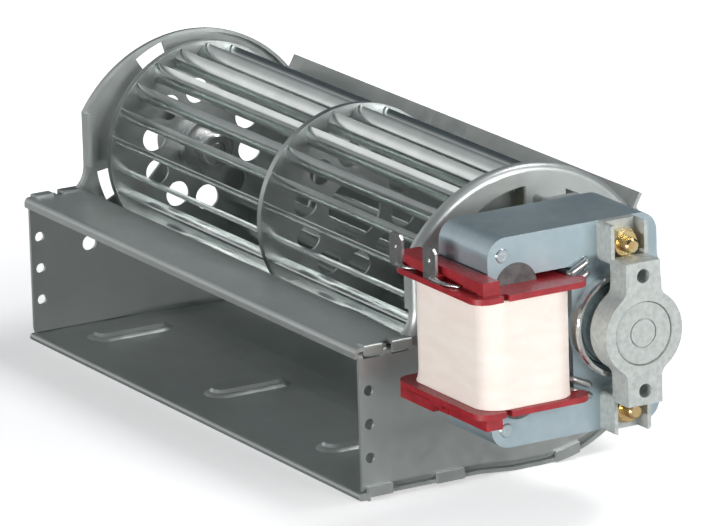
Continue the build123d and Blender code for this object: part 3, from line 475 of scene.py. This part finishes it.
def rivet_domes():
    """Domed rivet heads over both faces of the stack: h = DOME_HIGH sqrt(1 - (r / DOME_R)^2)
    less a dimple of 0.2 exp(-(r / 0.6)^2)."""
    r = DOME_EDGE_R * np.sin(np.linspace(0, np.pi / 2, 16))
    dome = DOME_HIGH * np.sqrt(1 - (r / DOME_R) ** 2) - 0.2 * np.exp(-((r / 0.6) ** 2))
    r = np.concatenate(([0.002], r[1:], [DOME_EDGE_R, 0.002]))
    dome = np.concatenate((dome, [-0.02, -0.02]))
    radius = np.broadcast_to(r[None, :], (40, r.size))
    pieces = []
    for face_x, way in ((STACK_LOW.x, -1), (STACK_HIGH.x, 1)):
        height = np.broadcast_to(way * dome[None, :], radius.shape)
        for side in (-1, 1):
            points = round_about_x(radius, height, (face_x, RIVET_Y * MM, AXIS_Z + side * RIVET_Z * MM))
            if way < 0:
                points = points[::-1]
            pieces.append(grid_mesh("dome", points, closed_u=True, closed_v=True))
    joined("rivet_domes", pieces, "housing", BRIGHT_RING)


def rounded_rectangle(half_x, half_y, corner, per_corner=14, per_side=24):
    """Points and outward normals round a rounded rectangle, anticlockwise seen from above."""
    points, normals = [], []
    for quarter in range(4):
        a = np.linspace(0, np.pi / 2, per_corner) + quarter * np.pi / 2
        sx, sy = ((1, 1), (-1, 1), (-1, -1), (1, -1))[quarter]
        heart = np.array((sx * (half_x - corner), sy * (half_y - corner)))
        normal = np.stack((np.cos(a), np.sin(a)), axis=1)
        points.append(heart + corner * normal)
        normals.append(normal)
    path, outward = [], []
    for quarter in range(4):
        path.append(points[quarter])
        outward.append(normals[quarter])
        start, stop = points[quarter][-1], points[(quarter + 1) % 4][0]
        share = np.linspace(0, 1, per_side + 2)[1:-1, None]
        path.append(start + (stop - start) * share)
        outward.append(np.repeat(normals[quarter][-1:], per_side, axis=0))
    return np.concatenate(path), np.concatenate(outward)


def wound_tape():
    """Outer wrap of the coil. Its outline is a rounded rectangle pushed outwards by
    s (0.85 exp(-h / 1.7) + 0.35 exp(-(H - h) / 1.3) + 0.22 sin(pi h / H)) plus shallow laps and
    creases, where h is the height, H the full height, and s is small on the side of the poles."""
    low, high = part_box("coil_tape")
    centre = np.array((middle(low.x, high.x), middle(low.y, high.y))) / MM
    half_x, half_y = (high.x - low.x) / 2 / MM, (high.y - low.y) / 2 / MM
    full = (high.z - low.z) / MM
    path, outward = rounded_rectangle(half_x, half_y, TAPE_CORNER)
    foot = np.linspace(0, 4, 14)
    trunk = np.linspace(4, full - 3, 30)
    brim = np.linspace(full - 3, full, 12)
    h = np.concatenate((foot, trunk[1:], brim[1:]))
    around = np.linspace(0, 2 * np.pi, len(path), endpoint=False)[:, None]
    hug = (1 - 0.75 * np.clip(outward[:, 1], 0, 1))[:, None]
    push = hug * (
        0.85 * np.exp(-h / 1.7) + 0.35 * np.exp(-(full - h) / 1.3) + 0.22 * np.sin(np.pi * h / full)
    )[None, :]
    up = h[None, :]
    crease = 0.035 * np.sin(7 * around + 0.35 * up) * np.sin(0.55 * up + 2 * np.sin(3 * around))
    lap = 0.05 / (1 + np.exp(-(up - full * 0.52 - 0.25 * np.sin(2 * around)) / 0.12))
    outer = path[:, None, :] + outward[:, None, :] * (push + crease + lap - 0.05)[:, :, None]
    inner = path[:, None, :] - outward[:, None, :] * TAPE_WALL + np.zeros_like(outer)
    plan = np.concatenate((outer, inner[:, ::-1]), axis=1) + centre
    z = np.concatenate((h, h[::-1]))
    heights = np.broadcast_to(z[None, :, None] + low.z / MM, plan.shape[:2] + (1,))
    points = np.concatenate((plan, heights), axis=2) * MM
    tape = grid_mesh(
        "wound_tape", points[::-1], closed_u=True, closed_v=True, finish=FINISHES["coil_tape"]
    )
    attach(tape, "housing")
    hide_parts("coil_tape")


def wire(name, path, radius, finish):
    """Round wire along points, with a radius at each, closed by a point at both ends. The
    section at each point is square to the path there."""
    spots = np.array(path, dtype=float)
    knots = np.linspace(0, 1, len(spots))
    fine = np.linspace(0, 1, 40)
    smooth = np.stack([np.interp(fine, knots, spots[:, k]) for k in range(3)], axis=1)
    kernel = np.ones(9) / 9
    for k in range(3):
        padded = np.pad(smooth[:, k], 4, mode="reflect", reflect_type="odd")
        smooth[:, k] = np.convolve(padded, kernel, mode="valid")
    size = np.interp(fine, knots, radius)
    along = np.gradient(smooth, axis=0)
    along /= np.linalg.norm(along, axis=1, keepdims=True)
    side = np.cross(along, (0.0, 0.0, 1.0))
    side /= np.linalg.norm(side, axis=1, keepdims=True)
    up = np.cross(side, along)
    turn = np.linspace(0, 2 * np.pi, 16, endpoint=False)[:, None, None]
    size[[0, -1]] = 0.01
    ring = smooth[None] + size[None, :, None] * (np.cos(turn) * side[None] + np.sin(turn) * up[None])
    return grid_mesh(name, ring[::-1] * MM, closed_u=True, finish=finish)


def coil_wires():
    """Wire ends soldered to the feet of the terminals: each leaves a bead of solder, lies on the
    flange and turns back towards the coil."""
    pieces = []
    thickness = (0.5, 0.95, 0.75, 0.5, 0.42, 0.3)
    for terminal, reach in (("terminal_rear", 4.2), ("terminal_front", 8.6)):
        low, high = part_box(terminal)
        x, y = high.x / MM, low.y / MM
        z = low.z / MM + 0.7
        path = [
            (x - 1.9, y - 0.35, z + 0.1),
            (x - 0.9, y - 0.4, z + 0.15),
            (x + 0.3, y - 0.4, z),
            (x + reach * 0.5, y - 0.2, z - 0.1),
            (x + reach * 0.8, y + 0.9, z - 0.15),
            (x + reach, y + 2.2, z - 0.3),
        ]
        pieces.append(wire("wire_end", path, thickness, FINISHES["tinned_wire"]))
    whole = joined("coil_wires", pieces, "housing", FINISHES["tinned_wire"])
    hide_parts("coil_leads")


def bead_domes():
    """Rounded tops over the three beads of the floor. At a distance d from the bead's middle line
    the height is BEAD_HIGH + BEAD_CROWN (1 - (d / BEAD_FLAT)^2) up to BEAD_FLAT, then falls along
    a smooth step to nothing at BEAD_REACH."""
    path, outward = rounded_rectangle(BEAD_HALF_X, BEAD_HALF_Y, BEAD_R, per_side=8)
    heart = path - BEAD_R * outward
    d = np.concatenate((np.linspace(0.05, BEAD_FLAT, 8), np.linspace(BEAD_FLAT, BEAD_REACH, 16)[1:]))
    fall = np.clip((d - BEAD_FLAT) / (BEAD_REACH - BEAD_FLAT), 0, 1)
    crown = BEAD_CROWN * np.clip(1 - (d / BEAD_FLAT) ** 2, 0, 1)
    rise = (BEAD_HIGH + crown) * (1 - fall ** 2 * (3 - 2 * fall))
    away = np.concatenate((d, d[::-1]))
    height = np.concatenate((rise, np.full_like(d, -SUNK)))
    pieces = []
    for middle_x in BEAD_X:
        plan = heart[:, None, :] + outward[:, None, :] * away[None, :, None]
        plan = plan + np.array((middle_x, BEAD_Y))
        up = np.broadcast_to((SHEET + height)[None, :, None], plan.shape[:2] + (1,))
        points = np.concatenate((plan, up), axis=2) * MM
        pieces.append(grid_mesh("dome", points[::-1], closed_u=True, closed_v=True))
    joined("bead_domes", pieces, "housing", FINISHES["zinc_sheet"])


chamfered_nuts()
bead_domes()
bolt_threads()
rivet_domes()
wound_tape()
coil_wires()


# ---------------------------------------------------------------- camera
def aim_camera(azimuth, elevation, roll, target, distance, focal):
    """Camera that looks along the direction given by azimuth and elevation, tipped by roll."""
    a, e, r = np.radians((azimuth, elevation, roll))
    forward = np.array((-np.sin(a) * np.cos(e), np.cos(a) * np.cos(e), -np.sin(e)))
    right = np.array((np.cos(a), np.sin(a), 0.0))
    up = np.cross(right, forward)
    level_right = right
    right = np.cos(r) * level_right + np.sin(r) * up
    up = np.cos(r) * up - np.sin(r) * level_right
    place = np.array(target) - forward * distance
    turn = np.column_stack((right, up, -forward))
    matrix = np.eye(4)
    matrix[:3, :3] = turn
    matrix[:3, 3] = place
    data = bpy.data.cameras.new("camera")
    data.lens = focal
    data.sensor_width = 36.0
    data.clip_start = 0.05
    data.clip_end = 60.0
    camera = bpy.data.objects.new("camera", data)
    camera.matrix_world = Matrix(matrix.tolist())
    bpy.context.scene.collection.objects.link(camera)
    bpy.context.scene.camera = camera


aim_camera(
    azimuth=60.287,
    elevation=15.817,
    roll=-1.731,
    target=(0.0, -0.00033, AXIS_Z - 0.01538),
    distance=2.0931,
    focal=386.6,
)


# ---------------------------------------------------------------- studio
FLOOR_HALF = 14.0           # metres
FLOOR_GAP = 0.00005         # metres between the floor and the underside of the housing


def pale_floor():
    """Matt floor: the camera sees it as white paper with the object's shadow, and towards the
    object it throws back light that is dark before the outlet and pale past both ends: painted shade that
    keeps the outlet's inside dark.
    The paper's glow to the camera is 0.5 beside the object and 0.95 from 0.35 m away: painted shade round
    the object that deepens its shadow."""
    made = Shader("pale_floor", (0.93, 0.93, 0.93), roughness=0.9, Specular_IOR_Level=0.1)
    made.tint(made.noise(3, 2), ((0.3, (0.925, 0.925, 0.93)), (0.7, (0.935, 0.935, 0.94))))
    made.set("Emission Color", (1, 1, 1, 1))
    away = made.node("ShaderNodeVectorMath", operation="LENGTH")
    made.link(made.place, away.inputs[0])
    # Glow cut to 0.5 beside the object: painted shade round its footprint.
    white = made.ramp(away.outputs["Value"], 0.12, 0.35, 0.5, 0.95)
    made.link(white, made.surface.inputs["Emission Strength"])
    # Light thrown back to the object: dark under and before it, pale past both ends, as painted shade for
    # the duct's inside.
    shade_bounce = made.node("ShaderNodeBsdfDiffuse")
    parts = made.node("ShaderNodeSeparateXYZ")
    made.link(made.place, parts.inputs["Vector"])
    beside = made.node("ShaderNodeMath", operation="ABSOLUTE")
    made.link(parts.outputs["X"], beside.inputs[0])
    made.link(made.ramp(beside.outputs[0], 0.1, 0.17, 0.05, 0.75), shade_bounce.inputs["Color"])
    ray = made.node("ShaderNodeLightPath")
    mix = made.node("ShaderNodeMixShader")
    made.link(ray.outputs["Is Camera Ray"], mix.inputs["Fac"])
    made.link(shade_bounce.outputs[0], mix.inputs[1])
    made.link(made.surface.outputs[0], mix.inputs[2])
    made.link(mix.outputs[0], made.tree.nodes["Material Output"].inputs["Surface"])
    span = np.linspace(-1, 1, 9) * FLOOR_HALF
    x, y = np.meshgrid(span, span, indexing="ij")
    points = np.stack((x, y, np.full_like(x, CAD_BOX[0][2] - FLOOR_GAP)), axis=-1)
    floor = grid_mesh("floor", points, finish=made.material)


def studio_world():
    """Sky that lights the object: a pale side past the motor, a light wall beyond the
    idle end that is dim towards the back, and a dark blue-grey rest. The camera sees it white."""
    world = bpy.data.worlds.new("studio")
    bpy.context.scene.world = world
    world.use_nodes = True
    tree = world.node_tree
    tree.nodes.clear()
    link = tree.links.new

    def ranged(output, low, high, dark, light):
        made = tree.nodes.new("ShaderNodeMapRange")
        made.interpolation_type = "SMOOTHSTEP"
        for socket, number in zip(("From Min", "From Max", "To Min", "To Max"), (low, high, dark, light)):
            made.inputs[socket].default_value = number
        link(output, made.inputs["Value"])
        return made.outputs["Result"]

    def product(*factors):
        made = factors[0]
        for factor in factors[1:]:
            node = tree.nodes.new("ShaderNodeMath")
            node.operation = "MULTIPLY"
            link(made, node.inputs[0])
            link(factor, node.inputs[1])
            made = node.outputs[0]
        return made

    output = tree.nodes.new("ShaderNodeOutputWorld")
    where = tree.nodes.new("ShaderNodeTexCoord")
    parts = tree.nodes.new("ShaderNodeSeparateXYZ")
    link(where.outputs["Generated"], parts.inputs["Vector"])
    side = product(
        ranged(parts.outputs["X"], 0.3, 0.9, 0.0, 0.45),
        ranged(parts.outputs["Y"], -0.45, 0.0, 0.0, 1.0),
    )
    wall = product(
        ranged(parts.outputs["X"], -0.8, -0.5, 0.9, 0.06),
        ranged(parts.outputs["Y"], -0.15, 0.12, 1.0, 0.1),
        ranged(parts.outputs["Z"], 0.2, 0.5, 1.0, 0.45),
    )
    total = tree.nodes.new("ShaderNodeMath")
    link(side, total.inputs[0])
    link(wall, total.inputs[1])
    tone = tree.nodes.new("ShaderNodeMix")
    tone.data_type = "RGBA"
    tone.inputs["A"].default_value = (0.02, 0.032, 0.04, 1)
    tone.inputs["B"].default_value = (1, 1, 1, 1)
    link(total.outputs[0], tone.inputs["Factor"])
    sky = tree.nodes.new("ShaderNodeBackground")
    link(tone.outputs["Result"], sky.inputs["Color"])
    white = tree.nodes.new("ShaderNodeBackground")
    white.inputs["Color"].default_value = (1, 1, 1, 1)
    ray = tree.nodes.new("ShaderNodeLightPath")
    mix = tree.nodes.new("ShaderNodeMixShader")
    link(ray.outputs["Is Camera Ray"], mix.inputs["Fac"])
    link(sky.outputs[0], mix.inputs[1])
    link(white.outputs[0], mix.inputs[2])
    link(mix.outputs[0], output.inputs["Surface"])


def soft_light(name, place, target, size, power):
    """White rectangular softbox turned towards a point."""
    data = bpy.data.lights.new(name, "AREA")
    data.shape = "RECTANGLE"
    data.size, data.size_y = size
    data.energy = power
    lamp = bpy.data.objects.new(name, data)
    lamp.location = place
    lamp.rotation_euler = (Vector(target) - Vector(place)).to_track_quat("-Z", "Y").to_euler()
    bpy.context.scene.collection.objects.link(lamp)


studio_world()
pale_floor()
CENTRE = (0.03, 0.0, AXIS_Z)
soft_light("side", (1.3, 0.35, 0.45), CENTRE, (0.6, 0.6), 10)
soft_light("front", (0.6, -1.3, 0.05), CENTRE, (0.6, 0.1), 13)
soft_light("top", (0.2, 0.8, 1.5), CENTRE, (0.7, 0.6), 11)
bpy.context.scene.view_settings.view_transform = "Standard"
